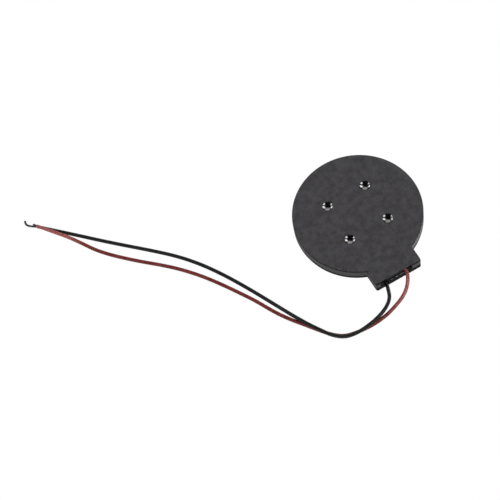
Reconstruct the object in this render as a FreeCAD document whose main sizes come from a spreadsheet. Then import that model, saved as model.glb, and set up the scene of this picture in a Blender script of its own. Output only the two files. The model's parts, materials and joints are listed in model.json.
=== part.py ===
import FreeCAD, Part
import math
import os

import Sketcher

# Vibration coin motor: an eccentric rotor on a fixed shaft in a flat round plastic case, with a square
# lead tab on one side. The origin is on the rotor's axis, at the middle of the case's bottom face.
# +Z goes up through the cover, and the tab points along -Y. All lengths are in millimetres.

DIMENSIONS = [
    # case and cover
    ("case_radius", 12.55, "outer radius of case and cover"),
    ("cavity_radius", 11.9, "inner radius of the case"),
    ("floor_thickness", 0.35, "case floor"),
    ("base_round", 0.2, "rounding of the case's bottom edge"),
    ("cover_round", 0.1, "rounding of the cover's top edge"),
    ("tab_half_width", 4.9, "half width of the lead tab"),
    ("tab_reach", 15.05, "axis to the front face of the case's tab"),
    ("cover_reach", 14.85, "axis to the front face of the cover's tab"),
    ("tab_corner", 0.4, "rounding of the tab's front corners"),
    ("channel_half_width", 4.05, "half width of the channel in the tab"),
    ("channel_reach", 14.65, "axis to the inside of the tab's front wall"),
    ("channel_floor", 0.6, "height of the channel's floor"),
    ("channel_start", 10.5, "axis to the inner end of the channel's cut"),
    ("mouth_right", 2.9, "right end of the low stretch of the front wall"),
    ("mouth_bottom", 1.5, "height of the low stretch of the front wall"),
    ("notch_half_width", 0.46, "half width of a lead's notch in the front wall"),
    ("notch_bottom", 0.9, "height of a notch's bottom"),
    ("black_notch_x", 2.73, "black lead's notch, left of the middle"),
    ("red_notch_x", 1.75, "red lead's notch, right of the middle"),
    ("cover_seat", 2.5, "height of the joint between case and cover"),
    ("seam_radius", 12.3, "radius at the bottom of the seam groove"),
    ("seam_half_width", 4.65, "half width at the bottom of the tab's seam groove"),
    ("seam_reach", 14.6, "axis to the bottom of the tab's seam groove"),
    ("seam_clear", 17, "radius that the seam groove's cut reaches"),
    ("seam_top", 2.68, "height of the seam groove's upper edge"),
    ("total_height", 2.85, "overall height"),
    ("spigot_outer", 11.85, "outer radius of the cover's locating ring"),
    ("spigot_inner", 11.55, "inner radius of the cover's locating ring"),
    ("spigot_bottom", 2.25, "height of the locating ring's lower edge"),
    # rivets and flux plate
    ("rivet_offset", 4.18, "rivet axis from the motor's axis, along X and along Y"),
    ("rivet_rim", 1.05, "radius of the rivet head"),
    ("rivet_dish", 0.97, "radius of the dish in the head"),
    ("dish_bottom", 2.53, "height of the dish's lowest point"),
    ("head_edge", 2.75, "height of the head's lower edge"),
    ("rivet_shank", 0.5, "radius of the rivet shank"),
    ("rivet_neck", 2.41, "height where the upset tail begins"),
    ("rivet_tail", 0.75, "radius of the upset tail"),
    ("plate_radius", 11.4, "radius of the flux plate"),
    ("plate_bottom", 2.32, "height of the flux plate's lower face"),
    ("plate_bore", 0.6, "radius of the flux plate's middle hole"),
    # yoke, shaft and washers
    ("yoke_radius", 11.6, "radius of the base yoke"),
    ("yoke_top", 0.6, "height of the yoke's upper face"),
    ("collar_radius", 0.9, "radius of the yoke's shaft collar"),
    ("collar_top", 1.2, "height of the collar"),
    ("shaft_radius", 0.4, "radius of the shaft"),
    ("shaft_top", 2.63, "height of the shaft's upper end"),
    ("shaft_pocket_radius", 0.43, "radius of the pocket in the cover"),
    ("shaft_pocket_top", 2.65, "height of the pocket's end"),
    ("washer_bore", 0.42, "inner radius of the thrust washers"),
    ("washer_radius", 0.95, "outer radius of the thrust washers"),
    ("lower_washer_top", 1.28, "height of the lower washer's upper face"),
    ("upper_washer_bottom", 2.22, "height of the upper washer's lower face"),
    ("upper_washer_top", 2.3, "height of the upper washer's upper face"),
    # brush board, magnet and brushes
    ("board_radius", 11.2, "radius of the brush board"),
    ("board_top", 0.7, "height of the brush board's upper face"),
    ("board_bore", 0.95, "radius of the brush board's middle hole"),
    ("tail_half_width", 3.6, "half width of the board's tail"),
    ("tail_reach", 13.6, "axis to the end of the board's tail"),
    ("pad_top", 0.73, "height of the copper pads"),
    ("pad_half_width", 0.65, "half width of a copper pad"),
    ("pad_start", 12.2, "axis to the near edge of the copper pads"),
    ("pad_end", 13.3, "axis to the far edge of the copper pads"),
    ("magnet_inner", 5.9, "inner radius of the ring magnet"),
    ("magnet_outer", 11.2, "outer radius of the ring magnet"),
    ("magnet_top", 1.25, "height of the magnet's upper face"),
    ("leaf_near", 1.5, "axis to the near edge of a brush leaf"),
    ("leaf_width", 0.8, "width of a brush leaf"),
    ("leaf_under", 0.78, "height of the leaf foot's upper face"),
    ("leaf_foot_end", 5.2, "axis to the outer end of the leaf's foot"),
    ("leaf_bend", 3.4, "axis to the leaf's lower bend, underside"),
    ("leaf_bend_top", 3.41, "axis to the leaf's lower bend, upper side"),
    ("leaf_knee", 0.3, "axis to the leaf's upper bend, underside"),
    ("leaf_knee_top", 0.31, "axis to the leaf's upper bend, upper side"),
    ("leaf_tip", 0.5, "distance that the leaf's tip passes the axis"),
    ("leaf_tip_bottom", 1.2, "height of the tip's lower face"),
    ("leaf_tip_top", 1.28, "height of the tip's upper face"),
    ("contact_radius", 0.25, "radius of a brush contact"),
    ("contact_x", 0.1, "brush contact's distance past the axis"),
    ("contact_y", 1.9, "brush contact's offset beside the axis"),
    ("contact_top", 1.38, "height of the brush contacts"),
    # rotor
    ("bearing_radius", 1.1, "outer radius of the sintered bush"),
    ("bearing_bore", 0.42, "inner radius of the sintered bush"),
    ("bearing_bottom", 1.31, "height of the bush's lower face"),
    ("bearing_top", 2.19, "height of the bush's upper face"),
    ("commutator_radius", 4.2, "radius of the commutator board"),
    ("commutator_bottom", 1.44, "height of the board's lower face"),
    ("commutator_top", 1.6, "height of the board's upper face"),
    ("segment_bottom", 1.4, "height of the segments' lower face"),
    ("segment_inner", 1.45, "inner radius of the segments"),
    ("segment_outer", 3.4, "outer radius of the segments"),
    ("segment_half_angle", 26.5, "half angle of one segment"),
    ("segment_count", 6, "number of segments"),
    ("rotor_radius", 11.2, "outer radius of the rotor"),
    ("rotor_bottom", 1.4, "height of the rotor's lower face"),
    ("rotor_top", 2.0, "height of the rotor's upper face"),
    ("hub_radius", 4.6, "radius of the resin hub"),
    ("fan_inner", 4.25, "inner radius of the resin fan"),
    ("fan_half_angle", 86, "half angle of the resin fan"),
    ("coil_orbit", 7.4, "axis to a coil's middle"),
    ("coil_angle", 55, "angle between the fan's middle line and a coil"),
    ("coil_outer", 2.9, "outer radius of a coil"),
    ("coil_inner", 1.1, "inner radius of a coil"),
    ("coil_bottom", 1.42, "height of a coil's lower face"),
    ("coil_top", 1.9, "height of a coil's upper face"),
    ("coil_play", 0.03, "play between a coil and its pocket"),
    ("weight_inner", 5.0, "inner radius of the counterweight"),
    ("weight_half_angle", 28, "half angle of the counterweight"),
    ("weight_gap_angle", 28.25, "half angle of the counterweight's seat"),
    ("weight_seat", 4.96, "inner radius of the counterweight's seat"),
    ("weight_bottom", 1.42, "height of the counterweight's lower face"),
    ("weight_top", 2.02, "height of the counterweight's upper face"),
    # leads
    ("lead_diameter", 0.72, "diameter of a lead over its insulation"),
    ("core_diameter", 0.4, "diameter of a lead's bare conductor"),
    ("lead_height", 1.3, "height of a lead's centre where it leaves the tab"),
    ("lead_inner_end", 13.75, "axis to the inner end of a lead's insulation"),
    ("core_inner_end", 12.45, "axis to the inner end of a lead's conductor"),
    ("black_lead_x", 2.65, "black lead's distance left of the middle"),
    ("red_lead_x", 1.8, "red lead's distance right of the middle"),
    ("joint_radius", 0.55, "radius of a solder joint's foot"),
    ("joint_top_radius", 0.34, "radius of a solder joint's top"),
    ("joint_top", 1.58, "height of a solder joint"),
    ("joint_centre", 12.75, "axis to the middle of the solder joints"),
    ("glue_top", 1.2, "height of the glue behind the front wall"),
    ("glue_front", 14.6, "axis to the outer face of the glue"),
    ("glue_back", 14.1, "axis to the inner face of the glue"),
    ("glue_left", 3.9, "left end of the glue"),
    ("glue_right", 2.8, "right end of the glue"),
    ("glue_play", 0.01, "play between the glue and a lead, or the front wall's top"),
    ("lump_reach", 14.93, "axis to the middle of the glue lumps on the front wall's top"),
    ("lump_half_depth", 0.11, "half depth of a glue lump"),
    ("lump_half_height", 0.09, "half height of a glue lump"),
]

SIZE = {alias: value for alias, value, _ in DIMENSIONS}

# Points that each lead's route runs through, from inside the tab to the end of its insulation. The red
# lead lies on the surface under the motor. The black one leans on it round the bend and lies beside it
# after that, until the red one climbs over the black one's end.
BLACK_ROUTE = [
    (-2.65, -13.75, 1.3),
    (-2.79, -15.07, 1.3),
    (-3.2, -16.4, 1.25),
    (-3.75, -17.8, 1.17),
    (-5.05, -18.95, 1.13),
    (-7.0, -19.85, 1.13),
    (-9.5, -20.45, 1.13),
    (-12.35, -20.7, 1.13),
    (-14.9, -20.25, 1.13),
    (-16.8, -18.6, 1.13),
    (-18.25, -16.25, 1.13),
    (-19.6, -13.95, 1.1),
    (-21.0, -11.0, 0.87),
    (-22.45, -7.62, 0.46),
    (-24.12, -3.94, 0.36),
    (-26.1, 0.1, 0.36),
    (-28.1, 3.85, 0.36),
    (-30.5, 7.75, 0.36),
    (-33.55, 11.7, 0.36),
    (-37.4, 15.65, 0.36),
    (-43.45, 21.5, 0.36),
    (-49.4, 27.65, 0.36),
    (-54.1, 32.4, 0.36),
]
RED_ROUTE = [
    (1.8, -13.75, 1.3),
    (1.74, -15.07, 1.3),
    (1.1, -16.38, 1.2),
    (0.15, -17.55, 0.9),
    (-1.35, -18.65, 0.56),
    (-3.55, -19.5, 0.37),
    (-6.05, -20.25, 0.36),
    (-9.05, -20.55, 0.36),
    (-12.0, -20.35, 0.36),
    (-14.75, -19.75, 0.36),
    (-16.65, -18.15, 0.36),
    (-18.2, -16.15, 0.36),
    (-19.65, -14.1, 0.36),
    (-21.6, -11.5, 0.36),
    (-23.52, -8.36, 0.36),
    (-25.23, -4.72, 0.36),
    (-27.35, -1.1, 0.36),
    (-29.6, 2.6, 0.36),
    (-32.15, 6.3, 0.36),
    (-35.65, 10.4, 0.36),
    (-41.25, 15.55, 0.36),
    (-46.0, 20.64, 0.36),
    (-48.35, 24.6, 0.36),
    (-50.15, 27.3, 0.53),
    (-52.15, 29.65, 0.95),
    (-54.15, 32.15, 1.13),
]
BLACK_TIP_ROUTE = [
    (-54.1, 32.4, 0.36),
    (-54.85, 32.95, 0.3),
    (-55.5, 33.55, 0.24),
    (-55.9, 34.15, 0.26),
    (-55.7, 34.85, 0.42),
]
RED_TIP_ROUTE = [
    (-54.15, 32.15, 1.13),
    (-54.4, 32.5, 1.14),
    (-54.6, 32.85, 1.08),
]

# Lumps of glue along the top of the front wall, between the leads: middle along X and half length.
GLUE_LUMPS = [
    (0.65, 0.45),
    (-0.45, 0.3),
    (-1.5, 0.35),
]

XY = "XY_Plane"
XZ = "XZ_Plane"
START, END, MIDDLE = 1, 2, 3  # point numbers of a sketch edge
ORIGIN = (-1, 1)  # a sketch's own origin
UP = FreeCAD.Vector(0, 0, 1)
ARC_SHARE = 0.45  # an arc's tangent length, as a share of its shorter run
LEAST_CUT = 0.001  # the least volume in mm3 that a pocket or groove has to remove


def formula(term):
    """A signed alias, such as "-tab_reach", as an expression on the spreadsheet."""
    if term == "0":
        return None
    if term.startswith("-"):
        return "-Dims." + term[1:]
    return "Dims." + term


def number(term):
    """A signed alias as a plain number, for a sketch's first guess."""
    if term == "0":
        return 0.0
    return -SIZE[term[1:]] if term.startswith("-") else SIZE[term]


def make_sheet(doc):
    sheet = doc.addObject("Spreadsheet::Sheet", "Dims")
    for row, (alias, value, note) in enumerate(DIMENSIONS, start=1):
        sheet.set(f"A{row}", note)
        sheet.set(f"B{row}", str(value))
        sheet.setAlias(f"B{row}", alias)
    doc.recompute()


def make_body(doc, label):
    body = doc.addObject("PartDesign::Body", label)
    body.Label = label
    body.AllowCompound = True
    return body


def plane(body, role):
    return [item for item in body.Origin.OriginFeatures if item.Role == role][0]


def make_sketch(body, name, role=XY, height=None, across=None, back=None):
    """A sketch on one of the body's planes. height, across and back shift it along its own Z, X and Y."""
    sketch = body.newObject("Sketcher::SketchObject", name)
    sketch.AttachmentSupport = [(plane(body, role), "")]
    sketch.MapMode = "FlatFace"
    shifts = {"x": across, "y": back, "z": height}
    for axis, shift in shifts.items():
        if shift:
            sketch.setExpression(f"AttachmentOffset.Base.{axis}", shift)
    return sketch


def bind(sketch, constraint, expression):
    index = sketch.addConstraint(constraint)
    if expression:
        sketch.setExpression(f"Constraints[{index}]", expression)


def place_point(sketch, edge, point, x, y):
    """Ties a sketch point to signed aliases x and y, counted from the sketch's origin."""
    if x == "0":
        sketch.addConstraint(Sketcher.Constraint("PointOnObject", edge, point, -2))
    else:
        bind(sketch, Sketcher.Constraint("DistanceX", *ORIGIN, edge, point, number(x)), formula(x))
    if y == "0":
        sketch.addConstraint(Sketcher.Constraint("PointOnObject", edge, point, -1))
    else:
        bind(sketch, Sketcher.Constraint("DistanceY", *ORIGIN, edge, point, number(y)), formula(y))


def add_circle(sketch, radius, x="0", y="0"):
    centre = FreeCAD.Vector(number(x), number(y), 0)
    edge = sketch.addGeometry(Part.Circle(centre, UP, SIZE[radius]), False)
    bind(sketch, Sketcher.Constraint("Radius", edge, SIZE[radius]), formula(radius))
    place_point(sketch, edge, MIDDLE, x, y)


def add_polygon(sketch, corners):
    """A closed outline of straight edges through corners, each a pair of signed aliases."""
    points = [FreeCAD.Vector(number(x), number(y), 0) for x, y in corners]
    edges = []
    for start, end in zip(points, points[1:] + points[:1]):
        edges.append(sketch.addGeometry(Part.LineSegment(start, end), False))
    for edge, following in zip(edges, edges[1:] + edges[:1]):
        sketch.addConstraint(Sketcher.Constraint("Coincident", edge, END, following, START))
    for edge, (x, y) in zip(edges, corners):
        place_point(sketch, edge, START, x, y)


def add_tabbed_outline(sketch, radius, half_width, reach):
    """A circle with a square tab towards -Y, joined to it."""
    big, half, front = SIZE[radius], SIZE[half_width], SIZE[reach]
    neck = -math.sqrt(big * big - half * half)
    start = math.atan2(neck, half)
    circle = Part.Circle(FreeCAD.Vector(), UP, big)
    arc = sketch.addGeometry(Part.ArcOfCircle(circle, start, math.pi - start), False)
    corners = [
        FreeCAD.Vector(-half, neck, 0),
        FreeCAD.Vector(-half, -front, 0),
        FreeCAD.Vector(half, -front, 0),
        FreeCAD.Vector(half, neck, 0),
    ]
    edges = [
        sketch.addGeometry(Part.LineSegment(first, second), False)
        for first, second in zip(corners, corners[1:])
    ]
    left, across, right = edges
    for first, second in ((left, across), (across, right)):
        sketch.addConstraint(Sketcher.Constraint("Coincident", first, END, second, START))
    sketch.addConstraint(Sketcher.Constraint("Coincident", arc, END, left, START))
    sketch.addConstraint(Sketcher.Constraint("Coincident", arc, START, right, END))
    sketch.addConstraint(Sketcher.Constraint("Coincident", arc, MIDDLE, *ORIGIN))
    sketch.addConstraint(Sketcher.Constraint("Vertical", left))
    sketch.addConstraint(Sketcher.Constraint("Vertical", right))
    bind(sketch, Sketcher.Constraint("Radius", arc, big), formula(radius))
    place_point(sketch, left, END, "-" + half_width, "-" + reach)
    place_point(sketch, across, END, half_width, "-" + reach)


def add_sector(sketch, inner, outer, half_angle):
    """A ring sector, symmetric about +Y."""
    near, far = SIZE[inner], SIZE[outer]
    low = math.radians(90 - SIZE[half_angle])
    high = math.radians(90 + SIZE[half_angle])
    arcs = [
        sketch.addGeometry(Part.ArcOfCircle(Part.Circle(FreeCAD.Vector(), UP, radius), low, high), False)
        for radius in (near, far)
    ]
    sides = []
    for angle in (low, high):
        ray = FreeCAD.Vector(math.cos(angle), math.sin(angle), 0)
        sides.append(sketch.addGeometry(Part.LineSegment(ray * near, ray * far), False))
    for arc, radius in zip(arcs, (inner, outer)):
        sketch.addConstraint(Sketcher.Constraint("Coincident", arc, MIDDLE, *ORIGIN))
        bind(sketch, Sketcher.Constraint("Radius", arc, SIZE[radius]), formula(radius))
    for side, point in zip(sides, (START, END)):
        sketch.addConstraint(Sketcher.Constraint("Coincident", arcs[0], point, side, START))
        sketch.addConstraint(Sketcher.Constraint("Coincident", arcs[1], point, side, END))
        sketch.addConstraint(Sketcher.Constraint("PointOnObject", *ORIGIN, side))
    for side, angle, sign in ((sides[0], low, "-"), (sides[1], high, "+")):
        bind(sketch, Sketcher.Constraint("Angle", side, angle), f"90 deg {sign} Dims.{half_angle} * 1 deg")


def pad(body, sketch, length):
    feature = body.newObject("PartDesign::Pad", sketch.Name + "_pad")
    feature.Profile = sketch
    feature.setExpression("Length", length)
    sketch.Visibility = False
    return feature


def pocket(body, sketch, length, reverse=False):
    feature = body.newObject("PartDesign::Pocket", sketch.Name + "_cut")
    feature.Profile = sketch
    feature.Reversed = reverse
    feature.setExpression("Length", length)
    return feature


def repeat(body, feature, count):
    """Repeats a feature round the body's Z axis."""
    pattern = body.newObject("PartDesign::PolarPattern", feature.Name + "_pattern")
    pattern.Originals = [feature]
    pattern.Axis = (plane(body, "Z_Axis"), [""])
    pattern.Angle = 360
    pattern.Occurrences = count
    body.Tip = pattern
    return pattern


def round_edges(body, name, radius, wanted):
    """Rounds the edges of the body's last feature that wanted(edge) picks."""
    body.Document.recompute()
    base = body.Tip
    names = [f"Edge{i}" for i, edge in enumerate(base.Shape.Edges, start=1) if wanted(edge)]
    fillet = body.newObject("PartDesign::Fillet", name)
    fillet.Base = (base, names)
    fillet.setExpression("Radius", radius)
    return fillet


def flat_edge_at(height, reach_from):
    """Picks horizontal edges at a height whose middle is at least reach_from away from the axis."""

    def wanted(edge):
        box = edge.BoundBox
        level = abs(box.ZMin - height) < 1e-4 and abs(box.ZMax - height) < 1e-4
        middle = edge.valueAt((edge.FirstParameter + edge.LastParameter) / 2)
        return level and math.hypot(middle.x, middle.y) > reach_from

    return wanted


def tab_corner(reach):
    """Picks the upright edges at the front corners of a tab that reaches this far."""

    def wanted(edge):
        box = edge.BoundBox
        upright = box.ZLength > 0.1 and box.XLength < 1e-4 and box.YLength < 1e-4
        outside = abs(abs(box.XMin) - SIZE["tab_half_width"]) < 1e-4
        return upright and outside and abs(box.YMin + reach) < 1e-4

    return wanted


def make_bottom_case(doc):
    body = make_body(doc, "bottom_case")
    outline = make_sketch(body, "case_outline")
    add_tabbed_outline(outline, "case_radius", "tab_half_width", "tab_reach")
    pad(body, outline, "Dims.cover_seat")

    cavity = make_sketch(body, "case_cavity", height="Dims.cover_seat")
    add_circle(cavity, "cavity_radius")
    pocket(body, cavity, "Dims.cover_seat - Dims.floor_thickness")

    channel = make_sketch(body, "case_channel", height="Dims.cover_seat")
    add_polygon(
        channel,
        [
            ("-channel_half_width", "-channel_reach"),
            ("channel_half_width", "-channel_reach"),
            ("channel_half_width", "-channel_start"),
            ("-channel_half_width", "-channel_start"),
        ],
    )
    pocket(body, channel, "Dims.cover_seat - Dims.channel_floor")

    mouth = make_sketch(body, "case_mouth", XZ, height="Dims.tab_reach")
    add_polygon(
        mouth,
        [
            ("-channel_half_width", "mouth_bottom"),
            ("mouth_right", "mouth_bottom"),
            ("mouth_right", "cover_seat"),
            ("-channel_half_width", "cover_seat"),
        ],
    )
    pocket(body, mouth, "Dims.tab_reach - Dims.channel_reach")

    for name, across in (("black", "-Dims.black_notch_x"), ("red", "Dims.red_notch_x")):
        notch = make_sketch(body, name + "_notch", XZ, height="Dims.tab_reach", across=across)
        add_polygon(
            notch,
            [
                ("-notch_half_width", "notch_bottom"),
                ("notch_half_width", "notch_bottom"),
                ("notch_half_width", "mouth_bottom"),
                ("-notch_half_width", "mouth_bottom"),
            ],
        )
        pocket(body, notch, "Dims.tab_reach - Dims.channel_reach")

    round_edges(body, "case_tab_corners", "Dims.tab_corner", tab_corner(SIZE["tab_reach"]))
    round_edges(body, "case_bottom_edge", "Dims.base_round", flat_edge_at(0.0, 10.0))
    return body


def make_top_cover(doc):
    body = make_body(doc, "top_cover")
    outline = make_sketch(body, "cover_outline", height="Dims.cover_seat")
    add_tabbed_outline(outline, "case_radius", "tab_half_width", "cover_reach")
    pad(body, outline, "Dims.total_height - Dims.cover_seat")

    seam = make_sketch(body, "cover_seam", height="Dims.seam_top")
    add_tabbed_outline(seam, "seam_radius", "seam_half_width", "seam_reach")
    add_circle(seam, "seam_clear")
    pocket(body, seam, "Dims.seam_top - Dims.cover_seat")

    ring = make_sketch(body, "cover_spigot", height="Dims.spigot_bottom")
    add_circle(ring, "spigot_outer")
    add_circle(ring, "spigot_inner")
    pad(body, ring, "Dims.cover_seat - Dims.spigot_bottom")

    shaft_end = make_sketch(body, "cover_shaft_end", height="Dims.cover_seat")
    add_circle(shaft_end, "shaft_pocket_radius")
    pocket(body, shaft_end, "Dims.shaft_pocket_top - Dims.cover_seat", reverse=True)

    hole = make_sketch(body, "cover_rivet_hole", XZ, height="Dims.rivet_offset", across="Dims.rivet_offset")
    add_polygon(
        hole,
        [
            ("0", "cover_seat"),
            ("rivet_shank", "cover_seat"),
            ("rivet_rim", "head_edge"),
            ("rivet_rim", "total_height"),
            ("0", "total_height"),
        ],
    )
    cut = body.newObject("PartDesign::Groove", "cover_rivet_seat")
    cut.Profile = hole
    cut.ReferenceAxis = (hole, ["V_Axis"])
    cut.Angle = 360
    repeat(body, cut, 4)

    round_edges(body, "cover_tab_corners", "Dims.tab_corner", tab_corner(SIZE["cover_reach"]))
    round_edges(body, "cover_top_edge", "Dims.cover_round", flat_edge_at(SIZE["total_height"], 10.0))
    return body


def make_cover_rivets(doc):
    body = make_body(doc, "cover_rivets")
    profile = make_sketch(body, "rivet_profile", XZ, height="Dims.rivet_offset", across="Dims.rivet_offset")
    corners = [
        ("rivet_dish", "total_height"),
        ("rivet_rim", "total_height"),
        ("rivet_rim", "head_edge"),
        ("rivet_shank", "cover_seat"),
        ("rivet_shank", "rivet_neck"),
        ("rivet_tail", "plate_bottom"),
        ("0", "plate_bottom"),
        ("0", "dish_bottom"),
    ]
    points = [FreeCAD.Vector(number(x), number(y), 0) for x, y in corners]
    edges = [
        profile.addGeometry(Part.LineSegment(start, end), False)
        for start, end in zip(points, points[1:])
    ]
    for edge, following in zip(edges, edges[1:]):
        profile.addConstraint(Sketcher.Constraint("Coincident", edge, END, following, START))
    for edge, (x, y) in zip(edges, corners):
        place_point(profile, edge, START, x, y)
    place_point(profile, edges[-1], END, *corners[-1])

    depth = SIZE["total_height"] - SIZE["dish_bottom"]
    sphere = (SIZE["rivet_dish"] ** 2 + depth**2) / (2 * depth)
    centre = FreeCAD.Vector(0, SIZE["dish_bottom"] + sphere, 0)
    rim = math.asin(SIZE["rivet_dish"] / sphere)
    bottom = -math.pi / 2
    circle = Part.Circle(centre, UP, sphere)
    dish = profile.addGeometry(Part.ArcOfCircle(circle, bottom, bottom + rim), False)
    profile.addConstraint(Sketcher.Constraint("Coincident", dish, START, edges[-1], END))
    profile.addConstraint(Sketcher.Constraint("Coincident", dish, END, edges[0], START))
    profile.addConstraint(Sketcher.Constraint("PointOnObject", dish, MIDDLE, -2))

    turned = body.newObject("PartDesign::Revolution", "rivet_turned")
    turned.Profile = profile
    turned.ReferenceAxis = (profile, ["V_Axis"])
    turned.Angle = 360
    repeat(body, turned, 4)
    return body


def make_ring(doc, label, bottom, top, outer, inner):
    """A flat ring between two heights."""
    body = make_body(doc, label)
    sketch = make_sketch(body, label + "_outline", height="Dims." + bottom)
    add_circle(sketch, outer)
    add_circle(sketch, inner)
    pad(body, sketch, f"Dims.{top} - Dims.{bottom}")
    return body


def make_flux_plate(doc):
    body = make_ring(doc, "flux_plate", "plate_bottom", "cover_seat", "plate_radius", "plate_bore")
    hole = make_sketch(body, "plate_rivet_hole", XZ, height="Dims.rivet_offset", across="Dims.rivet_offset")
    add_polygon(
        hole,
        [
            ("0", "plate_bottom"),
            ("rivet_tail", "plate_bottom"),
            ("rivet_shank", "rivet_neck"),
            ("rivet_shank", "cover_seat"),
            ("0", "cover_seat"),
        ],
    )
    cut = body.newObject("PartDesign::Groove", "plate_rivet_seat")
    cut.Profile = hole
    cut.ReferenceAxis = (hole, ["V_Axis"])
    cut.Angle = 360
    repeat(body, cut, 4)
    return body


def make_base_yoke(doc):
    body = make_body(doc, "base_yoke")
    disc = make_sketch(body, "yoke_disc", height="Dims.floor_thickness")
    add_circle(disc, "yoke_radius")
    pad(body, disc, "Dims.yoke_top - Dims.floor_thickness")
    collar = make_sketch(body, "yoke_collar", height="Dims.floor_thickness")
    add_circle(collar, "collar_radius")
    pad(body, collar, "Dims.collar_top - Dims.floor_thickness")
    bore = make_sketch(body, "yoke_bore", height="Dims.collar_top")
    add_circle(bore, "shaft_radius")
    pocket(body, bore, "Dims.collar_top - Dims.floor_thickness")
    return body


def make_shaft(doc):
    shaft = doc.addObject("Part::Cylinder", "shaft")
    shaft.Label = "shaft"
    shaft.setExpression("Radius", "Dims.shaft_radius")
    shaft.setExpression("Height", "Dims.shaft_top - Dims.floor_thickness")
    shaft.setExpression("Placement.Base.z", "Dims.floor_thickness")
    return shaft


def make_brush_board(doc):
    body = make_body(doc, "brush_board")
    outline = make_sketch(body, "board_outline", height="Dims.yoke_top")
    add_tabbed_outline(outline, "board_radius", "tail_half_width", "tail_reach")
    add_circle(outline, "board_bore")
    pad(body, outline, "Dims.board_top - Dims.yoke_top")
    return body


def make_solder_pads(doc):
    body = make_body(doc, "solder_pads")
    for name, side, lead in (("black", "-", "black_lead_x"), ("red", "", "red_lead_x")):
        sketch = make_sketch(body, name + "_pad", height="Dims.board_top", across=f"{side}Dims.{lead}")
        add_polygon(
            sketch,
            [
                ("-pad_half_width", "-pad_end"),
                ("pad_half_width", "-pad_end"),
                ("pad_half_width", "-pad_start"),
                ("-pad_half_width", "-pad_start"),
            ],
        )
        pad(body, sketch, "Dims.pad_top - Dims.board_top")
    return body


def make_brush(doc, label, turn):
    """A bent leaf from its foot on the board up to the commutator, turned about the motor's axis."""
    body = make_body(doc, label)
    profile = make_sketch(body, label + "_profile", XZ, height="-Dims.leaf_near")
    add_polygon(
        profile,
        [
            ("leaf_foot_end", "board_top"),
            ("leaf_foot_end", "leaf_under"),
            ("leaf_bend_top", "leaf_under"),
            ("leaf_knee_top", "leaf_tip_top"),
            ("-leaf_tip", "leaf_tip_top"),
            ("-leaf_tip", "leaf_tip_bottom"),
            ("leaf_knee", "leaf_tip_bottom"),
            ("leaf_bend", "board_top"),
        ],
    )
    leaf = pad(body, profile, "Dims.leaf_width")
    leaf.Reversed = True
    body.Placement = FreeCAD.Placement(FreeCAD.Vector(), FreeCAD.Rotation(UP, turn))
    return body


def make_brush_contacts(doc):
    """The two contact tips, a quarter turn apart as their leaves are."""
    members = []
    places = (
        ("positive", "-Dims.contact_x", "Dims.contact_y"),
        ("negative", "Dims.contact_y", "Dims.contact_x"),
    )
    for name, x, y in places:
        tip = doc.addObject("Part::Cylinder", name + "_contact")
        tip.setExpression("Radius", "Dims.contact_radius")
        tip.setExpression("Height", "Dims.contact_top - Dims.leaf_tip_top")
        tip.setExpression("Placement.Base.x", x)
        tip.setExpression("Placement.Base.y", y)
        tip.setExpression("Placement.Base.z", "Dims.leaf_tip_top")
        members.append(tip)
    return group(doc, "brush_contacts", members)


def group(doc, label, members):
    """Separate solids that share one node."""
    compound = doc.addObject("Part::Compound", label)
    compound.Label = label
    compound.Links = members
    return compound


def make_washer(doc, label, bottom, top):
    return make_ring(doc, label, bottom, top, "washer_radius", "washer_bore")


def make_commutator_board(doc):
    label = "commutator_board"
    return make_ring(doc, label, "commutator_bottom", "commutator_top", "commutator_radius", "bearing_radius")


def make_commutator_segments(doc):
    body = make_body(doc, "commutator_segments")
    sketch = make_sketch(body, "segment_outline", height="Dims.segment_bottom")
    add_sector(sketch, "segment_inner", "segment_outer", "segment_half_angle")
    segment = pad(body, sketch, "Dims.commutator_bottom - Dims.segment_bottom")
    repeat(body, segment, SIZE["segment_count"])
    return body


def coil_centre(side):
    """Expressions for a coil's middle, on the left (-1) or right (1) of the fan's middle line."""
    x = f"{side} * Dims.coil_orbit * sin(Dims.coil_angle * 1 deg)"
    y = "Dims.coil_orbit * cos(Dims.coil_angle * 1 deg)"
    return x, y


def make_coil(doc, label, side):
    body = make_body(doc, label)
    x, y = coil_centre(side)
    sketch = make_sketch(body, label + "_outline", height="Dims.coil_bottom", across=x, back=y)
    add_circle(sketch, "coil_outer")
    add_circle(sketch, "coil_inner")
    pad(body, sketch, "Dims.coil_top - Dims.coil_bottom")
    return body


def make_counterweight(doc):
    body = make_body(doc, "counterweight")
    sketch = make_sketch(body, "weight_outline", height="Dims.weight_bottom")
    add_sector(sketch, "weight_inner", "rotor_radius", "weight_half_angle")
    pad(body, sketch, "Dims.weight_top - Dims.weight_bottom")
    return body


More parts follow.
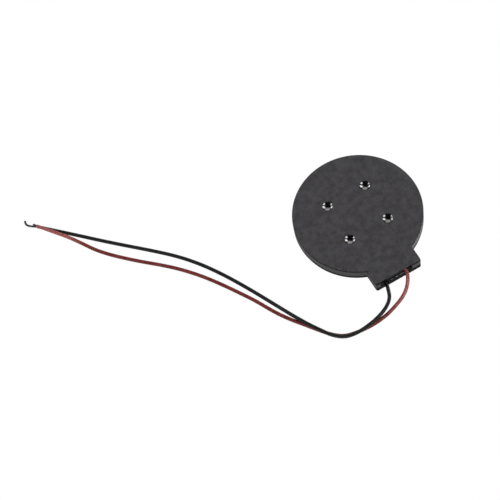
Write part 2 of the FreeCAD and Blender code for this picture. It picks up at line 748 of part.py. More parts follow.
def make_rotor_body(doc):
    body = make_body(doc, "rotor_body")
    fan = make_sketch(body, "fan_outline", height="Dims.rotor_bottom")
    add_sector(fan, "fan_inner", "rotor_radius", "fan_half_angle")
    pad(body, fan, "Dims.rotor_top - Dims.rotor_bottom")

    hub = make_sketch(body, "hub_outline", height="Dims.commutator_top")
    add_circle(hub, "hub_radius")
    pad(body, hub, "Dims.rotor_top - Dims.commutator_top")

    bore = make_sketch(body, "hub_bore", height="Dims.rotor_top")
    add_circle(bore, "bearing_radius")
    pocket(body, bore, "Dims.rotor_top - Dims.rotor_bottom")

    for name, side in (("left", -1), ("right", 1)):
        x, y = coil_centre(side)
        seat = make_sketch(body, name + "_coil_seat", height="Dims.rotor_bottom", across=x, back=y)
        for radius, play in (("coil_outer", "+"), ("coil_inner", "-")):
            circle = Part.Circle(FreeCAD.Vector(), UP, SIZE[radius])
            edge = seat.addGeometry(circle, False)
            size = f"Dims.{radius} {play} Dims.coil_play"
            bind(seat, Sketcher.Constraint("Radius", edge, SIZE[radius]), size)
            place_point(seat, edge, MIDDLE, "0", "0")
        pocket(body, seat, "Dims.coil_top - Dims.rotor_bottom + Dims.coil_play", reverse=True)

    weight = make_sketch(body, "weight_seat_outline", height="Dims.rotor_top")
    add_sector(weight, "weight_seat", "case_radius", "weight_gap_angle")
    pocket(body, weight, "Dims.rotor_top - Dims.rotor_bottom")
    return body


def rounded_path(points):
    """Straight runs through the points, joined by the largest tangent arcs that they allow."""
    corners = [FreeCAD.Vector(*point) for point in points]
    edges = []
    radii = []
    pen = corners[0]
    for before, corner, after in zip(corners, corners[1:], corners[2:]):
        arrive = corner - before
        leave = after - corner
        tangent = ARC_SHARE * min(arrive.Length, leave.Length)
        half_turn = arrive.getAngle(leave) / 2
        radius = tangent / math.tan(half_turn)
        arrive.normalize()
        leave.normalize()
        first = corner - arrive * tangent
        last = corner + leave * tangent
        inward = leave - arrive
        inward.normalize()
        middle = corner + inward * (math.hypot(radius, tangent) - radius)
        edges.append(Part.LineSegment(pen, first).toShape())
        edges.append(Part.Arc(first, middle, last).toShape())
        radii.append(radius)
        pen = last
    edges.append(Part.LineSegment(pen, corners[-1]).toShape())
    return Part.Wire(edges), radii


def make_tube(doc, label, route, diameter):
    """A round wire swept along a route."""
    wire, radii = rounded_path(route)
    path = doc.addObject("Part::Feature", label + "_path")
    path.Shape = wire
    section = doc.addObject("Part::Circle", label + "_section")
    section.setExpression("Radius", f"Dims.{diameter} / 2")
    along = FreeCAD.Vector(*route[1]) - FreeCAD.Vector(*route[0])
    section.Placement = FreeCAD.Placement(FreeCAD.Vector(*route[0]), FreeCAD.Rotation(UP, along))
    tube = doc.addObject("Part::Sweep", label)
    tube.Label = label
    tube.Sections = [section]
    tube.Spine = (path, [f"Edge{i + 1}" for i in range(len(wire.Edges))])
    tube.Solid = True
    doc.recompute()
    expected = math.pi * (SIZE[diameter] / 2) ** 2 * wire.Length
    print(
        f"{label}: length {wire.Length:.2f} mm, volume {tube.Shape.Volume:.3f} of {expected:.3f} mm3,",
        "radii " + " ".join(f"{radius:.1f}" for radius in radii),
    )
    return tube


def make_inner_core(doc, label, side):
    """The bare inner end of a lead, which lies over its pad."""
    core = doc.addObject("Part::Cylinder", label)
    core.Label = label
    core.setExpression("Radius", "Dims.core_diameter / 2")
    core.setExpression("Height", "Dims.lead_inner_end - Dims.core_inner_end")
    core.Placement = FreeCAD.Placement(FreeCAD.Vector(), FreeCAD.Rotation(FreeCAD.Vector(1, 0, 0), -90))
    core.setExpression("Placement.Base.x", side)
    core.setExpression("Placement.Base.y", "-Dims.lead_inner_end")
    core.setExpression("Placement.Base.z", "Dims.lead_height")
    return core


def make_solder_joints(doc, cores):
    """A mound of solder on each pad, with the conductor through it."""
    members = []
    for core, side in zip(cores, ("-Dims.black_lead_x", "Dims.red_lead_x")):
        mound = doc.addObject("Part::Cone", core.Name + "_mound")
        mound.setExpression("Radius1", "Dims.joint_radius")
        mound.setExpression("Radius2", "Dims.joint_top_radius")
        mound.setExpression("Height", "Dims.joint_top - Dims.pad_top")
        mound.setExpression("Placement.Base.x", side)
        mound.setExpression("Placement.Base.y", "-Dims.joint_centre")
        mound.setExpression("Placement.Base.z", "Dims.pad_top")
        joint = doc.addObject("Part::Cut", core.Name + "_joint")
        joint.Base = mound
        joint.Tool = core
        members.append(joint)
    return group(doc, "solder_joints", members)


def make_lead_glue(doc):
    """A bead of glue behind the tab's front wall, round both leads, and lumps of it on top of the wall."""
    bead = doc.addObject("Part::Box", "glue_bead")
    bead.setExpression("Length", "Dims.glue_left + Dims.glue_right")
    bead.setExpression("Width", "Dims.glue_front - Dims.glue_back")
    bead.setExpression("Height", "Dims.glue_top - Dims.channel_floor")
    bead.setExpression("Placement.Base.x", "-Dims.glue_left")
    bead.setExpression("Placement.Base.y", "-Dims.glue_front")
    bead.setExpression("Placement.Base.z", "Dims.channel_floor")
    for name, route in (("black", BLACK_ROUTE), ("red", RED_ROUTE)):
        inner, outer = (FreeCAD.Vector(*point) for point in route[:2])
        channel = doc.addObject("Part::Cylinder", name + "_glue_channel")
        channel.setExpression("Radius", "Dims.lead_diameter / 2 + Dims.glue_play")
        channel.Height = (outer - inner).Length * 2
        channel.Placement = FreeCAD.Placement(inner, FreeCAD.Rotation(UP, outer - inner))
        cut = doc.addObject("Part::Cut", name + "_glue_cut")
        cut.Base = bead
        cut.Tool = channel
        bead = cut
    members = [bead]
    for middle, half_length in GLUE_LUMPS:
        lump = doc.addObject("Part::Ellipsoid", "glue_lump")
        lump.Radius2 = half_length
        lump.setExpression("Radius1", "Dims.lump_half_height")
        lump.setExpression("Radius3", "Dims.lump_half_depth")
        lump.Placement.Base.x = middle
        lump.setExpression("Placement.Base.y", "-Dims.lump_reach")
        lump.setExpression("Placement.Base.z", "Dims.mouth_bottom + Dims.lump_half_height + Dims.glue_play")
        members.append(lump)
    return group(doc, "lead_glue", members)


def check(doc, nodes):
    """Stops the script if anything failed, a cut removed nothing, or a node isn't a valid solid."""
    for item in doc.Objects:
        if "Invalid" in item.State or "Error" in item.State:
            raise RuntimeError(f"{item.Label} failed: {item.State}")
        if item.TypeId in ("PartDesign::Pocket", "PartDesign::Groove"):
            if item.Shape.Volume > item.BaseFeature.Shape.Volume - LEAST_CUT:
                raise RuntimeError(f"{item.Label} cuts nothing")
    for node in nodes:
        shape = node.Shape
        if shape.isNull() or not shape.isValid() or not shape.Solids:
            raise RuntimeError(f"{node.Label} has no valid solid")
        print(f"{node.Label}: {len(shape.Solids)} solid(s), {shape.Volume:.3f} mm3")


def main():
    doc = FreeCAD.newDocument("coin_motor")
    make_sheet(doc)
    black_core = make_inner_core(doc, "black_lead_core", "-Dims.black_lead_x")
    red_core = make_inner_core(doc, "red_lead_core", "Dims.red_lead_x")
    nodes = [
        make_bottom_case(doc),
        make_top_cover(doc),
        make_cover_rivets(doc),
        make_flux_plate(doc),
        make_base_yoke(doc),
        make_shaft(doc),
        make_brush_board(doc),
        make_solder_pads(doc),
        make_ring(doc, "ring_magnet", "board_top", "magnet_top", "magnet_outer", "magnet_inner"),
        make_brush(doc, "brush_positive", 0),
        make_brush(doc, "brush_negative", -90),
        make_brush_contacts(doc),
        make_washer(doc, "lower_thrust_washer", "collar_top", "lower_washer_top"),
        make_washer(doc, "upper_thrust_washer", "upper_washer_bottom", "upper_washer_top"),
        make_ring(doc, "rotor_bearing", "bearing_bottom", "bearing_top", "bearing_radius", "bearing_bore"),
        make_commutator_board(doc),
        make_commutator_segments(doc),
        make_coil(doc, "rotor_coil_left", -1),
        make_coil(doc, "rotor_coil_right", 1),
        make_counterweight(doc),
        make_rotor_body(doc),
        black_core,
        red_core,
        make_solder_joints(doc, (black_core, red_core)),
        make_lead_glue(doc),
        make_tube(doc, "black_lead", BLACK_ROUTE, "lead_diameter"),
        make_tube(doc, "red_lead", RED_ROUTE, "lead_diameter"),
        make_tube(doc, "black_lead_tip", BLACK_TIP_ROUTE, "core_diameter"),
        make_tube(doc, "red_lead_tip", RED_TIP_ROUTE, "core_diameter"),
    ]
    doc.recompute()
    check(doc, nodes)
    os.makedirs("parts", exist_ok=True)
    for node in nodes:
        node.Shape.exportStep(f"parts/{node.Label}.step")


main()
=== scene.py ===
import json
import math

import bpy
from mathutils import Matrix, Vector


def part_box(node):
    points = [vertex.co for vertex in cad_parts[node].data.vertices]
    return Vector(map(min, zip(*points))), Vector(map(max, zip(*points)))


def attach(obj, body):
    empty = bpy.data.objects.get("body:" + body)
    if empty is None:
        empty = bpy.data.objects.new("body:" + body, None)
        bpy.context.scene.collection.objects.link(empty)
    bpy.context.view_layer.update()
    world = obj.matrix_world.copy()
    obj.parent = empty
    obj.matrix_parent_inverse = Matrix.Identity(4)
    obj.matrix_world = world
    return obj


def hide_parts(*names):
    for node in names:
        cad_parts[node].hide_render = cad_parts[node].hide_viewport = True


# The looks of the vibration coin motor. The case, rivets and inner pieces are the CAD nodes with
# materials of their own. The two leads and their stripped ends are drawn here, along the CAD routes.

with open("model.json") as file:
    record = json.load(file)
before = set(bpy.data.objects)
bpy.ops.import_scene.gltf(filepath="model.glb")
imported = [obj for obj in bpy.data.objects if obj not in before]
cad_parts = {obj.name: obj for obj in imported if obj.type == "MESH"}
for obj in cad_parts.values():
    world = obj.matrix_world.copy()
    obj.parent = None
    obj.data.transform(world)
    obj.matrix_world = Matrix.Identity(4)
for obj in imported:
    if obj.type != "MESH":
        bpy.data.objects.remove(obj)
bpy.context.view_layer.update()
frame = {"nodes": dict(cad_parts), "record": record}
node = frame["nodes"]
MM = 0.001  # in metres, Blender's unit

# ---------------------------------------------------------------- camera

CAMERA_PLACE = Vector((-57.92, -122.66, 265.89)) * MM
CAMERA_AZIMUTH = math.radians(-16.095)
CAMERA_ELEVATION = math.radians(63.363)
CAMERA_ROLL = math.radians(-14.711)
CAMERA_LENS = 111.39  # mm
CAMERA_SENSOR = 36  # mm
CAMERA_NEAREST = 0.01  # m
CAMERA_FARTHEST = 10  # m


def make_camera():
    """A camera that looks down at the object from the front left, rolled a little to one side."""
    back = Vector((
        math.sin(CAMERA_AZIMUTH) * math.cos(CAMERA_ELEVATION),
        -math.cos(CAMERA_AZIMUTH) * math.cos(CAMERA_ELEVATION),
        math.sin(CAMERA_ELEVATION),
    ))
    level = Vector((math.cos(CAMERA_AZIMUTH), math.sin(CAMERA_AZIMUTH), 0))
    upright = back.cross(level)
    right = level * math.cos(CAMERA_ROLL) + upright * math.sin(CAMERA_ROLL)
    up = back.cross(right)
    data = bpy.data.cameras.new("camera")
    data.lens = CAMERA_LENS
    data.sensor_width = CAMERA_SENSOR
    data.clip_start = CAMERA_NEAREST
    data.clip_end = CAMERA_FARTHEST
    camera = bpy.data.objects.new("camera", data)
    turn = Matrix((right, up, back)).transposed().to_4x4()
    camera.matrix_world = Matrix.Translation(CAMERA_PLACE) @ turn
    bpy.context.scene.collection.objects.link(camera)
    bpy.context.scene.camera = camera


make_camera()

# ---------------------------------------------------------------- leads

# All sizes and places here are in millimetres. The routes are those of the CAD model's leads. Each one is
# the control points of a smooth line: a lead's starts inside the tab, and its tip's where the insulation
# ends.

LEAD_DIAMETER = 0.72
CUT_END_RADIUS = 0.9  # where the insulation is cut, as a share of its full radius
STRAND_DIAMETER = 0.145
STRAND_LAY = 2.4  # along the wire for one turn of its outer strands
OUTER_STRANDS = 6
BLACK_LENGTH = 82.4
RED_LENGTH = 85.4
BLACK_ROUTE = [
    (-2.65, -13.75, 1.3),
    (-2.79, -15.07, 1.3),
    (-3.2, -16.4, 1.25),
    (-3.75, -17.8, 1.17),
    (-5.05, -18.95, 1.13),
    (-7.0, -19.85, 1.13),
    (-9.5, -20.45, 1.13),
    (-12.35, -20.7, 1.13),
    (-14.9, -20.25, 1.13),
    (-16.8, -18.6, 1.13),
    (-18.25, -16.25, 1.13),
    (-19.6, -13.95, 1.1),
    (-21.0, -11.0, 0.87),
    (-22.45, -7.62, 0.46),
    (-24.12, -3.94, 0.36),
    (-26.1, 0.1, 0.36),
    (-28.1, 3.85, 0.36),
    (-30.5, 7.75, 0.36),
    (-33.55, 11.7, 0.36),
    (-37.4, 15.65, 0.36),
    (-43.45, 21.5, 0.36),
    (-49.4, 27.65, 0.36),
    (-54.1, 32.4, 0.36),
]
RED_ROUTE = [
    (1.8, -13.75, 1.3),
    (1.74, -15.07, 1.3),
    (1.1, -16.38, 1.2),
    (0.15, -17.55, 0.9),
    (-1.35, -18.65, 0.56),
    (-3.55, -19.5, 0.37),
    (-6.05, -20.25, 0.36),
    (-9.05, -20.55, 0.36),
    (-12.0, -20.35, 0.36),
    (-14.75, -19.75, 0.36),
    (-16.65, -18.15, 0.36),
    (-18.2, -16.15, 0.36),
    (-19.65, -14.1, 0.36),
    (-21.6, -11.5, 0.36),
    (-23.52, -8.36, 0.36),
    (-25.23, -4.72, 0.36),
    (-27.35, -1.1, 0.36),
    (-29.6, 2.6, 0.36),
    (-32.15, 6.3, 0.36),
    (-35.65, 10.4, 0.36),
    (-41.25, 15.55, 0.36),
    (-46.0, 20.64, 0.36),
    (-48.35, 24.6, 0.36),
    (-50.15, 27.3, 0.53),
    (-52.15, 29.65, 0.95),
    (-54.15, 32.15, 1.13),
]
BLACK_TIP_ROUTE = [
    (-54.1, 32.4, 0.36),
    (-54.85, 32.95, 0.3),
    (-55.5, 33.55, 0.24),
    (-55.9, 34.15, 0.26),
    (-55.7, 34.85, 0.42),
]
RED_TIP_ROUTE = [
    (-54.15, 32.15, 1.13),
    (-54.4, 32.5, 1.14),
    (-54.6, 32.85, 1.08),
]


def make_curve(name):
    """An empty curve object that splines are added to."""
    curve = bpy.data.curves.new(name, "CURVE")
    curve.dimensions = "3D"
    curve.resolution_u = 16
    curve.bevel_resolution = 8
    piece = bpy.data.objects.new(name, curve)
    bpy.context.scene.collection.objects.link(piece)
    return piece


def add_spline(piece, points, radius=0.0):
    """A smooth line with these control points, in metres. A radius makes it a round tube."""
    curve = piece.data
    spline = curve.splines.new("NURBS")
    spline.points.add(len(points) - 1)
    for control, place in zip(spline.points, points):
        control.co = (*place, 1)
        control.radius = radius
    spline.order_u = 3
    spline.use_endpoint_u = True
    if radius:
        curve.bevel_depth = 1
        curve.use_fill_caps = True
    return spline


def in_metres(route):
    return [Vector(place) * MM for place in route]


def line_along(route):
    """Points along the smooth line that a route gives, read from a curve with no thickness."""
    guide = make_curve("guide")
    add_spline(guide, in_metres(route))
    mesh = bpy.data.meshes.new_from_object(guide)
    points = [vertex.co.copy() for vertex in mesh.vertices]
    bpy.data.meshes.remove(mesh)
    bpy.data.objects.remove(guide)
    return points


def make_insulation(name, route):
    """A round tube along a route, slightly narrower where it is cut."""
    piece = make_curve(name)
    spline = add_spline(piece, in_metres(route), LEAD_DIAMETER * MM / 2)
    spline.points[-1].radius *= CUT_END_RADIUS
    return piece


def make_strands(name, route):
    """A stranded conductor: one straight strand with the others wound round it."""
    line = line_along(route)
    piece = make_curve(name)
    radius = STRAND_DIAMETER * MM / 2
    add_spline(piece, line, radius)
    # The points lie close together, so few steps between them are enough.
    piece.data.resolution_u = 1
    piece.data.bevel_resolution = 3
    side = (line[1] - line[0]).orthogonal().normalized()
    windings = [[] for _ in range(OUTER_STRANDS)]
    travelled = 0
    for index, place in enumerate(line):
        before = line[max(index - 1, 0)]
        after = line[min(index + 1, len(line) - 1)]
        along = (after - before).normalized()
        side = (side - along * side.dot(along)).normalized()
        across = along.cross(side)
        travelled += (place - before).length
        turn = math.tau * travelled / (STRAND_LAY * MM)
        for number, winding in enumerate(windings):
            angle = turn + math.tau * number / OUTER_STRANDS
            outwards = side * math.cos(angle) + across * math.sin(angle)
            winding.append(place + outwards * radius * 2)
    for winding in windings:
        add_spline(piece, winding, radius)
    return piece


black_lead = make_insulation("black_lead_insulation", BLACK_ROUTE)
red_lead = make_insulation("red_lead_insulation", RED_ROUTE)
black_tip = make_strands("black_lead_strands", BLACK_TIP_ROUTE)
red_tip = make_strands("red_lead_strands", RED_TIP_ROUTE)

for lead, tip, cad_lead, cad_tip, slot, route, length in (
    (black_lead, black_tip, "black_lead", "black_lead_tip", "black_insulation", BLACK_ROUTE, BLACK_LENGTH),
    (red_lead, red_tip, "red_lead", "red_lead_tip", "red_insulation", RED_ROUTE, RED_LENGTH),
):
    for piece, cad_node, material_slot in ((lead, cad_lead, slot), (tip, cad_tip, "tinned_wire")):
        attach(piece, "case")
        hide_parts(cad_node)

# ---------------------------------------------------------------- materials
#
# Every pattern is laid out in millimetres in the object's own space.

NOISE_ROUGHNESS = 0.55


class Finish:
    """A material with its node tree, and short ways to add nodes to it."""

    def __init__(self, name, roughness, metallic=0.0):
        self.material = bpy.data.materials.new(name)
        self.material.use_nodes = True
        self.tree = self.material.node_tree
        self.shader = self.tree.nodes["Principled BSDF"]
        self.shader.inputs["Roughness"].default_value = roughness
        self.shader.inputs["Metallic"].default_value = metallic
        place = self.tree.nodes.new("ShaderNodeTexCoord").outputs["Object"]
        self.place = self.vector("SCALE", place, Scale=1 / MM)

    def fill(self, added, inputs):
        """Sets or links a node's inputs, which are given by number or by name, with _ for a space."""
        for name, value in inputs.items():
            socket = added.inputs[name.replace("_", " ") if isinstance(name, str) else name]
            if isinstance(value, bpy.types.NodeSocket):
                self.tree.links.new(value, socket)
            else:
                socket.default_value = value

    def vector(self, operation, first, second=None, **inputs):
        added = self.tree.nodes.new("ShaderNodeVectorMath")
        added.operation = operation
        pair = {0: first} if second is None else {0: first, 1: second}
        self.fill(added, {**pair, **inputs})
        return added.outputs["Value" if operation in ("LENGTH", "DOT_PRODUCT") else "Vector"]

    def maths(self, operation, first, second=0.0):
        added = self.tree.nodes.new("ShaderNodeMath")
        added.operation = operation
        self.fill(added, {0: first, 1: second})
        return added.outputs["Value"]

    def noise(self, grains, detail, place=None):
        """Noise from 0 to 1 with this many grains to the millimetre."""
        added = self.tree.nodes.new("ShaderNodeTexNoise")
        inputs = {
            "Vector": self.place if place is None else place,
            "Scale": grains,
            "Detail": detail,
            "Roughness": NOISE_ROUGHNESS,
        }
        self.fill(added, inputs)
        return added.outputs["Fac"]

    def spread(self, value, low, high, start=0.3, end=0.7):
        """Maps start..end of a value to low..high, and holds those beyond. Most noise is at 0.3 to 0.7."""
        added = self.tree.nodes.new("ShaderNodeMapRange")
        limits = {"Value": value, "From_Min": start, "From_Max": end, "To_Min": low, "To_Max": high}
        self.fill(added, limits)
        return added.outputs["Result"]

    def blend(self, factor, first, second):
        """The first colour where the factor is 0 and the second where it is 1."""
        added = self.tree.nodes.new("ShaderNodeMix")
        added.data_type = "RGBA"
        colours = [socket for socket in added.inputs if socket.type == "RGBA"]
        for socket, colour in zip(colours, (first, second)):
            if isinstance(colour, bpy.types.NodeSocket):
                self.tree.links.new(colour, socket)
            else:
                socket.default_value = (*colour, 1)
        self.tree.links.new(factor, added.inputs["Factor"])
        return [socket for socket in added.outputs if socket.type == "RGBA"][0]

    def colour(self, value):
        self.tree.links.new(value, self.shader.inputs["Base Color"])

    def roughness(self, value):
        self.tree.links.new(value, self.shader.inputs["Roughness"])

    def bump(self, height, depth):
        """Relief of this depth in millimetres, on top of any relief that is there already."""
        added = self.tree.nodes.new("ShaderNodeBump")
        self.fill(added, {"Height": height, "Distance": depth * MM, "Strength": 1.0})
        previous = self.shader.inputs["Normal"]
        if previous.is_linked:
            self.tree.links.new(previous.links[0].from_socket, added.inputs["Normal"])
        self.tree.links.new(added.outputs["Normal"], previous)


def moulded_plastic(name, dark, light, unshaded_mask=None):
    """Dull moulded plastic with the fine spark-eroded grain of its mould and soft larger patches."""
    finish = Finish(name, roughness=0.5)
    patches = finish.noise(grains=0.9, detail=4)
    speckle = finish.noise(grains=5.5, detail=2)
    coarse = finish.maths("MULTIPLY", patches, 0.6)
    fine = finish.maths("MULTIPLY", speckle, 0.4)
    shade = finish.maths("ADD", coarse, fine)
    plastic = finish.blend(finish.spread(shade, 0, 1, start=0.38, end=0.62), dark, light)
    roughness = finish.spread(patches, 0.44, 0.6)
    # Painted shade: where the mask falls towards 0, the plastic goes towards a near-black colour and turns
    # rougher.
    if unshaded_mask:
        unshaded = unshaded_mask(finish)
        plastic = finish.blend(unshaded, PAINTED_SHADE, plastic)
        shaded_roughness = finish.spread(unshaded, 0.95, 0.3, start=0, end=1)
        roughness = finish.maths("MAXIMUM", roughness, shaded_roughness)
    finish.colour(plastic)
    finish.roughness(roughness)
    finish.bump(finish.noise(grains=9, detail=3), depth=0.012)
    finish.bump(patches, depth=0.02)
    return finish.material


# Where painted shade starts and ends on the case, in millimetres: heights above the bottom face,
# places along Y, where the tab's front face is at -15.05 and the cover's at -14.85, and places along X,
# where the tab reaches from -4.9 to 4.9.
BOTTOM_FACE = (0, 0.03)
WALL_FOOT = (0.7, 1.1)
FRONT_FOOT = (1.1, 1.6)
COVER_SEAM = (2.3, 2.48)
COVER_TOP = (2.79, 2.84)
FRONT_FACE = (-15, -14.95)
FRONT_EDGE = (-14.95, -14.85)
CORNER_DEPTH = (-14.8, -14.7)
MOUTH_LEFT = (-4.1, -3.9)
MOUTH_RIGHT = (2.8, 3)
CORNER_RIGHT = (2.8, 3.1)
FRONT_SHADE = 0.7  # of the unshaded value, as painted shade on the upper part of the tab's front
COVER_EDGE_SHADE = 0.3  # of the unshaded value, as painted shade round the cover's edge


def case_unshaded(finish):
    """1 on plastic without painted shade and 0 where the shade is painted in darkest.

    That is at the foot of the wall and of the tab's front, round the cover's edge and below the leads.
    """
    across, along, height = (
        finish.vector("DOT_PRODUCT", finish.place, axis) for axis in ((1, 0, 0), (0, 1, 0), (0, 0, 1))
    )
    behind_front = finish.spread(along, 0, 1, *FRONT_EDGE)
    front_foot = finish.spread(height, 0, FRONT_SHADE, *FRONT_FOOT)
    tab_front = finish.maths("MAXIMUM", behind_front, front_foot)
    foot = finish.maths("MINIMUM", finish.spread(height, 0, 1, *WALL_FOOT), tab_front)
    foot = finish.maths("MAXIMUM", foot, finish.spread(height, 1, 0, *BOTTOM_FACE))
    seam = finish.spread(height, 1, COVER_EDGE_SHADE, *COVER_SEAM)
    cover_edge = finish.maths("MAXIMUM", seam, finish.spread(height, 0, 1, *COVER_TOP))
    left_of_mouth = finish.spread(across, 1, 0, *MOUTH_LEFT)
    right_of_mouth = finish.spread(across, 0, 1, *MOUTH_RIGHT)
    mouth = finish.maths("MAXIMUM", left_of_mouth, right_of_mouth)
    front = finish.maths("MAXIMUM", mouth, finish.spread(along, 0, 1, *FRONT_FACE))
    right_corner = finish.spread(across, 0, 1, *CORNER_RIGHT)
    corner = finish.maths("MINIMUM", right_corner, finish.spread(along, 1, 0, *CORNER_DEPTH))
    cover_edge = finish.maths("MAXIMUM", cover_edge, corner)
    return finish.maths("MINIMUM", finish.maths("MINIMUM", foot, cover_edge), front)


def pressed_steel(name, dark, light, offset, ring_pitch):
    """Plated steel with the fine turned rings of the riveting tool round each head.

    The four heads are at this offset from the middle, both along X and along Y.
    """
    finish = Finish(name, roughness=0.2, metallic=1.0)
    folded = finish.vector("SUBTRACT", finish.vector("ABSOLUTE", finish.place), (offset, offset, 0))
    radius = finish.vector("LENGTH", finish.vector("MULTIPLY", folded, (1, 1, 0)))
    rings = finish.maths("SINE", finish.maths("MULTIPLY", radius, math.tau / ring_pitch))
    stains = finish.noise(grains=2.5, detail=4)
    finish.colour(finish.blend(finish.spread(stains, 0, 1), dark, light))
    finish.roughness(finish.spread(stains, 0.1, 0.22))
    finish.bump(rings, depth=0.0015)
    return finish.material


# Where painted light makes a lead paler, as places across the object in millimetres: the start and end of
# the change.
NEAR_END = (-7, 0.5)
FAR_END = (-50, -48)
FAR_END_SHADE = 0.75  # of the full painted light


def insulation(name, dark, light, roughness, painted_light=None):
    """Soft extruded plastic with faint cloudy colour and a slightly uneven skin.

    A paler colour at both ends of the lead is painted light.
    """
    finish = Finish(name, roughness)
    clouds = finish.noise(grains=0.8, detail=4)
    plastic = finish.blend(finish.spread(clouds, 0, 1), dark, light)
    # Painted light: the lead is paler near the motor and at its far end, where it is lit more.
    if painted_light:
        across = finish.vector("DOT_PRODUCT", finish.place, (1, 0, 0))
        near = finish.spread(across, 0, 1, *NEAR_END)
        far = finish.spread(across, FAR_END_SHADE, 0, *FAR_END)
        plastic = finish.blend(finish.maths("MAXIMUM", near, far), plastic, painted_light)
    finish.colour(plastic)
    smears = finish.noise(grains=3, detail=3)
    finish.roughness(finish.spread(smears, roughness - 0.06, roughness + 0.1))
    finish.bump(finish.noise(grains=2.2, detail=2), depth=0.02)
    finish.bump(finish.noise(grains=14, detail=2), depth=0.004)
    return finish.material


def metal(name, dark, light, roughness, grain=(1, 1, 1), grains=4.0):
    """Metal with stains and a rolled or drawn grain, stretched where a grain scale is small."""
    finish = Finish(name, roughness, metallic=1.0)
    marks = finish.noise(grains, detail=3, place=finish.vector("MULTIPLY", finish.place, grain))
    stains = finish.noise(grains=0.7, detail=4)
    finish.colour(finish.blend(finish.spread(stains, 0, 1), dark, light))
    finish.roughness(finish.spread(marks, roughness - 0.06, roughness + 0.12))
    finish.bump(marks, depth=0.004)
    return finish.material


def board(name, dark, light, weave):
    """Board laminate or film, with the faint weave of its cloth."""
    finish = Finish(name, roughness=0.35)
    threads = []
    for axis in ((1, 0, 0), (0, 1, 0)):
        distance = finish.vector("DOT_PRODUCT", finish.place, axis)
        threads.append(finish.maths("SINE", finish.maths("MULTIPLY", distance, weave)))
    cloth = finish.maths("MULTIPLY", *threads)
    clouds = finish.noise(grains=1.2, detail=3)
    shade = finish.maths("ADD", clouds, finish.maths("MULTIPLY", cloth, 0.06))
    finish.colour(finish.blend(finish.spread(shade, 0, 1), dark, light))
    finish.bump(cloth, depth=0.003)
    return finish.material


def wound_wire(name, dark, light, centre, wire):
    """Enamelled wire wound flat in rings round the middle of each coil."""
    finish = Finish(name, roughness=0.28, metallic=1.0)
    mirrored = finish.vector("MULTIPLY", finish.vector("ABSOLUTE", finish.place), (1, 1, 0))
    radius = finish.vector("LENGTH", finish.vector("SUBTRACT", mirrored, (*centre, 0)))
    rings = finish.maths("SINE", finish.maths("MULTIPLY", radius, math.tau / wire))
    finish.colour(finish.blend(finish.spread(rings, 0, 1, start=-1, end=1), dark, light))
    finish.bump(rings, depth=wire / 3)
    return finish.material


def cured_glue(name, dark, light):
    """Shiny cured glue with a lumpy surface."""
    finish = Finish(name, roughness=0.12)
    clouds = finish.noise(grains=1.5, detail=3)
    finish.colour(finish.blend(finish.spread(clouds, 0, 1), dark, light))
    finish.bump(finish.noise(grains=1.6, detail=2), depth=0.12)
    return finish.material


def assign(piece, material):
    """Gives a piece this material and no other."""
    piece.data.materials.clear()
    piece.data.materials.append(material)


def middle(name):
    """The middle of a CAD node's box, in millimetres."""
    low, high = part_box(name)
    return [(a + b) / 2 / MM for a, b in zip(low, high)]


RIVET_HEAD_RADIUS = 1.05  # mm
RIVET_RING_PITCH = 0.12  # mm
COIL_WIRE = 0.09  # mm from one turn of wire to the next
CLOTH_WEAVE = 14  # radians of the thread's wave to the millimetre
rivet_low, rivet_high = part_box("cover_rivets")
rivet_offset = (rivet_high[0] - rivet_low[0]) / MM / 2 - RIVET_HEAD_RADIUS
coil_middle = middle("rotor_coil_right")
# The near-black colour of the painted shade on the case.
PAINTED_SHADE = (0.006, 0.006, 0.006)
CASE_DARK, CASE_LIGHT = (0.062, 0.058, 0.063), (0.107, 0.102, 0.109)
RIVET_DARK, RIVET_LIGHT = (0.22, 0.22, 0.215), (0.36, 0.36, 0.355)
# RED_PAINTED_LIGHT is the paler red that paints light onto both ends of the red lead.
RED_DARK, RED_LIGHT, RED_PAINTED_LIGHT = (0.21, 0.022, 0.02), (0.34, 0.06, 0.05), (0.65, 0.205, 0.195)
STEEL_DARK, STEEL_LIGHT = (0.42, 0.42, 0.41), (0.6, 0.6, 0.59)
TIN_DARK, TIN_LIGHT = (0.4, 0.39, 0.37), (0.62, 0.6, 0.57)
BRASS_DARK, BRASS_LIGHT = (0.5, 0.36, 0.14), (0.68, 0.52, 0.25)
COIL_DARK, COIL_LIGHT = (0.35, 0.13, 0.05), (0.72, 0.34, 0.16)

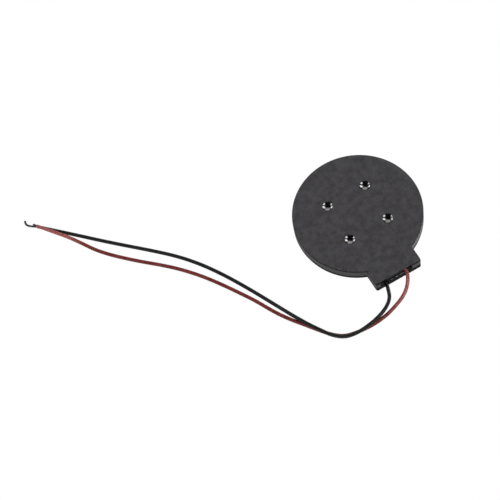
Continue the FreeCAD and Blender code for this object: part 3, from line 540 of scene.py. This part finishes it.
# Each row gives a slot's name, its darkest and lightest colour, and what else its pattern needs.
finishes = {
    "case_plastic": moulded_plastic("case_plastic", CASE_DARK, CASE_LIGHT, case_unshaded),
    "rivet_steel": pressed_steel("rivet_steel", RIVET_DARK, RIVET_LIGHT, rivet_offset, RIVET_RING_PITCH),
    "red_insulation": insulation("red_insulation", RED_DARK, RED_LIGHT, 0.36, RED_PAINTED_LIGHT),
    "black_insulation": insulation("black_insulation", (0.007, 0.009, 0.008), (0.018, 0.021, 0.02), 0.38),
    "tinned_wire": metal("tinned_wire", (0.08, 0.08, 0.076), (0.19, 0.19, 0.18), 0.42, grains=6),
    "glue": cured_glue("glue", (0.1, 0.1, 0.1), (0.3, 0.3, 0.295)),
    "yoke_steel": metal("yoke_steel", STEEL_DARK, STEEL_LIGHT, 0.3, (0.3, 8, 8)),
    "shaft_steel": metal("shaft_steel", (0.55, 0.55, 0.54), (0.66, 0.66, 0.65), 0.14, (8, 8, 0.5)),
    "flex_board": board("flex_board", (0.4, 0.16, 0.03), (0.5, 0.22, 0.05), CLOTH_WEAVE),
    "copper": metal("copper", (0.55, 0.26, 0.14), (0.75, 0.38, 0.22), 0.3),
    "magnet": metal("magnet", (0.12, 0.12, 0.125), (0.2, 0.2, 0.205), 0.42, grains=7),
    "brush_metal": metal("brush_metal", BRASS_DARK, BRASS_LIGHT, 0.26, (0.4, 6, 6)),
    "contact_metal": metal("contact_metal", (0.7, 0.5, 0.18), (0.85, 0.65, 0.3), 0.2),
    "washer_plastic": insulation("washer_plastic", (0.7, 0.7, 0.66), (0.84, 0.84, 0.8), 0.4),
    "bush_bronze": metal("bush_bronze", (0.36, 0.24, 0.12), (0.52, 0.37, 0.2), 0.45, grains=12),
    "board_green": board("board_green", (0.015, 0.11, 0.045), (0.03, 0.17, 0.075), CLOTH_WEAVE),
    "coil_wire": wound_wire("coil_wire", COIL_DARK, COIL_LIGHT, coil_middle[:2], COIL_WIRE),
    "weight_metal": metal("weight_metal", (0.42, 0.35, 0.2), (0.56, 0.48, 0.3), 0.38, grains=5),
    "rotor_resin": moulded_plastic("rotor_resin", (0.02, 0.02, 0.021), (0.04, 0.04, 0.042)),
    "solder": metal("solder", TIN_DARK, TIN_LIGHT, 0.24, grains=3),
}

for subpart in frame["record"]["subparts"]:
    assign(node[subpart["node"]], finishes[subpart["material_slot"]])
for piece, slot in (
    (black_lead, "black_insulation"),
    (red_lead, "red_insulation"),
    (black_tip, "tinned_wire"),
    (red_tip, "tinned_wire"),
):
    assign(piece, finishes[slot])

# ---------------------------------------------------------------- floor and light

# Each soft box has a direction, an angular radius in degrees and a brightness. The first four stand in two
# pairs, left and right of the camera. Overhead stays dark, and the far wall and the near side are a little
# lighter. The last two lie below the horizon and stand for the pale floor's light on the object's sides.
SOFT_BOXES = [
    ((0.54, -0.56, 0.63), 15, 3.2),
    ((-0.81, 0.4, 0.43), 15, 3.2),
    ((0.81, 0.16, 0.56), 14, 3.2),
    ((-0.38, 0.89, 0.25), 14, 3.2),
    ((0.4, 0.81, 0.42), 24, 0.9),
    ((-0.6, -0.78, 0.2), 32, 1.3),
    ((0, 0, -1), 70, 0.42),
    ((0.58, -0.15, -0.8), 24, 1.1),
]
SOFT_EDGE = 2  # degrees on either side of a soft box's radius
ROOM_GREY = 0.006
ROOM_FADE = (60, 110)  # degrees from straight up over which the room's grey goes to black
FLOOR_SIZE = 10  # m
FLOOR_GAP = 0.02  # mm between the floor and the object, so that the two faces don't coincide


def make_floor():
    """A plain white floor. It gives no light to the object and isn't seen in its reflections."""
    bpy.ops.mesh.primitive_plane_add(size=FLOOR_SIZE, location=(0, 0, -FLOOR_GAP * MM))
    floor = bpy.context.object
    floor.name = "floor"
    floor.visible_diffuse = False
    floor.visible_glossy = False
    material = bpy.data.materials.new("floor")
    material.use_nodes = True
    shader = material.node_tree.nodes["Principled BSDF"]
    shader.inputs["Base Color"].default_value = (0, 0, 0, 1)
    shader.inputs["Specular IOR Level"].default_value = 0
    shader.inputs["Emission Color"].default_value = (1, 1, 1, 1)
    shader.inputs["Emission Strength"].default_value = 1
    assign(floor, material)


def make_world():
    """A dim grey room with the soft boxes in it."""
    world = bpy.data.worlds.new("studio")
    world.use_nodes = True
    tree = world.node_tree
    direction = tree.nodes.new("ShaderNodeTexCoord").outputs["Generated"]

    def patch(axis, inner, outer, brightness):
        """Light of this brightness round an axis, full inside one angle and none outside the other."""
        axis = Vector(axis).normalized()
        towards = tree.nodes.new("ShaderNodeVectorMath")
        towards.operation = "DOT_PRODUCT"
        towards.inputs[1].default_value = axis
        tree.links.new(direction, towards.inputs[0])
        fade = tree.nodes.new("ShaderNodeMapRange")
        fade.interpolation_type = "SMOOTHSTEP"
        fade.inputs["From Min"].default_value = math.cos(math.radians(outer))
        fade.inputs["From Max"].default_value = math.cos(math.radians(inner))
        fade.inputs["To Max"].default_value = brightness
        tree.links.new(towards.outputs["Value"], fade.inputs["Value"])
        return fade.outputs["Result"]

    patches = [
        patch(axis, size - SOFT_EDGE, size + SOFT_EDGE, brightness)
        for axis, size, brightness in SOFT_BOXES
    ]
    patches.append(patch((0, 0, 1), *ROOM_FADE, ROOM_GREY))
    total = patches[0]
    for light in patches[1:]:
        added = tree.nodes.new("ShaderNodeMath")
        added.operation = "ADD"
        tree.links.new(total, added.inputs[0])
        tree.links.new(light, added.inputs[1])
        total = added.outputs["Value"]
    tree.links.new(total, tree.nodes["Background"].inputs["Strength"])
    tree.nodes["Background"].inputs["Color"].default_value = (1, 1, 1, 1)
    bpy.context.scene.world = world


make_floor()
make_world()
bpy.context.scene.view_settings.view_transform = "Standard"
